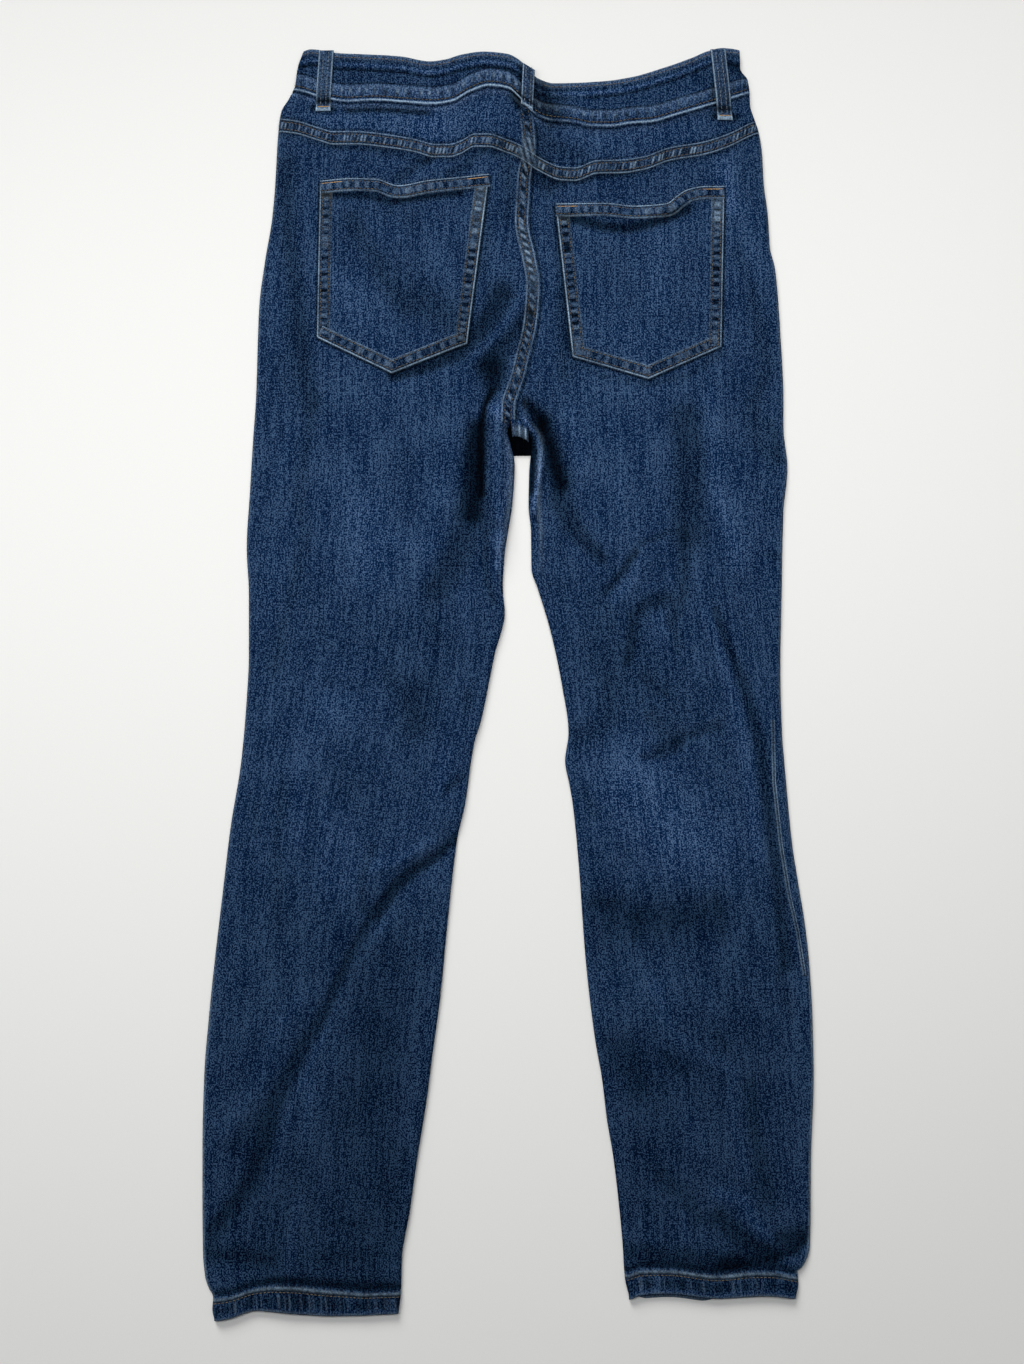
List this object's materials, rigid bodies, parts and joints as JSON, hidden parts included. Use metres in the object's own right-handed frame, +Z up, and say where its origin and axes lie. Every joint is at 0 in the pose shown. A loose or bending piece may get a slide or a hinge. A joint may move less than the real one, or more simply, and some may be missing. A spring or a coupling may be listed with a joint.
{
  "type": "skinny jeans",
  "caption": "Dark indigo skinny jeans lying flat face down, back pockets, yoke, waistband and belt loops on top, legs slightly apart.",
  "frame": {"origin": "middle of the garment's length and width, on the surface it lies on", "axes": "+X to the right of the garment as it lies with its back up, +Y towards the waist, +Z up"},
  "size_m": [0.52, 1.0803, 0.0118],
  "materials": {
    "denim": "woven stretch denim, mottled indigo, matt",
    "waistband_denim": "doubled stretch denim, mottled indigo, matt",
    "pocket_denim": "woven stretch denim, mottled indigo, matt",
    "zip_metal": "closed metal zip teeth, plain",
    "button_metal": "plain antique metal"
  },
  "bodies": {
    "root": {"back_left": "denim", "back_right": "denim", "yoke_left": "denim", "yoke_right": "denim", "front_left": "denim", "front_right": "denim", "waistband_back": "waistband_denim", "waistband_front_left": "waistband_denim", "waistband_front_right": "waistband_denim", "back_pocket_left": "pocket_denim", "back_pocket_right": "pocket_denim", "belt_loop_left": "waistband_denim", "belt_loop_center": "waistband_denim", "belt_loop_right": "waistband_denim", "zip": "zip_metal", "button": "button_metal"}
  },
  "joints": []
}
